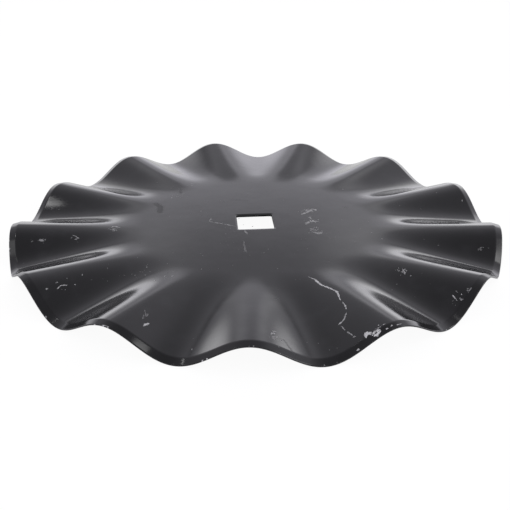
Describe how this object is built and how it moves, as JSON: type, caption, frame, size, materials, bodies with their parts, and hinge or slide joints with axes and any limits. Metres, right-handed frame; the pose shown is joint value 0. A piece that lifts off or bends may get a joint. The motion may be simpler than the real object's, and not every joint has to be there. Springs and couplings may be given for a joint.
{
  "type": "harrow disc blade",
  "caption": "Flat round tillage blade of pressed steel sheet, with radial flutes that grow towards a bevelled rim and a square axle bore, painted black.",
  "frame": {"origin": "centre of the square bore, halfway through the sheet", "axes": "+Z along the axle towards the bevelled side, -Y to the front, where a crest stands a degree off the axis, +X to the right"},
  "size_m": [0.508, 0.508, 0.0252],
  "materials": {
    "black_paint": "satin black enamel on steel, scuffed and chipped at the rim"
  },
  "bodies": {
    "root": {"disc_blade": "black_paint"}
  },
  "joints": []
}
